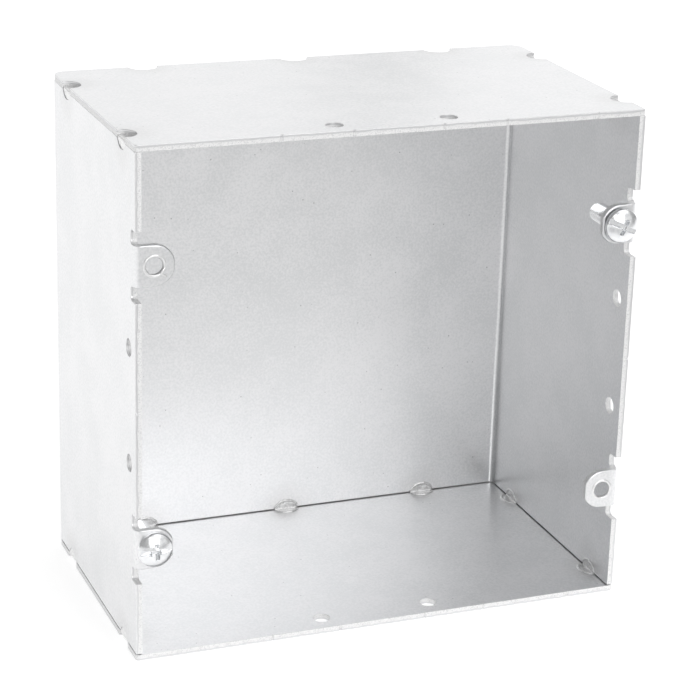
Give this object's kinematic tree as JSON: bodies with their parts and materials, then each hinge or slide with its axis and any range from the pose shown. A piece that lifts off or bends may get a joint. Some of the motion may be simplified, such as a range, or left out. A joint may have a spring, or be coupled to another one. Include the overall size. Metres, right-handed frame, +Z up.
{
  "type": "square electrical box",
  "caption": "Square welded steel wiring box, open at the front, with corner-notched plates, tapped cover tabs and cover screws.",
  "frame": {"origin": "centre of the bottom plate's underside, which the box stands on", "axes": "+Z up, +Y from the open front to the back wall, +X to the right seen from the open front"},
  "size_m": [0.127, 0.0755, 0.127],
  "materials": {
    "galvanised_sheet": "galvanised sheet, satin",
    "weld_metal": "rough weld metal",
    "zinc_screw": "bright zinc plating"
  },
  "bodies": {
    "root": {"box_body": "galvanised_sheet", "top_plate": "galvanised_sheet", "bottom_plate": "galvanised_sheet", "lower_left_screw": "zinc_screw", "upper_right_screw": "zinc_screw", "top_weld_back_left": "weld_metal", "top_weld_back_middle": "weld_metal", "top_weld_back_right": "weld_metal", "top_weld_left_front": "weld_metal", "top_weld_left_rear": "weld_metal", "top_weld_right_front": "weld_metal", "top_weld_right_rear": "weld_metal", "bottom_weld_back_left": "weld_metal", "bottom_weld_back_middle": "weld_metal", "bottom_weld_back_right": "weld_metal", "bottom_weld_left_front": "weld_metal", "bottom_weld_left_rear": "weld_metal", "bottom_weld_right_front": "weld_metal", "bottom_weld_right_rear": "weld_metal"}
  },
  "joints": []
}
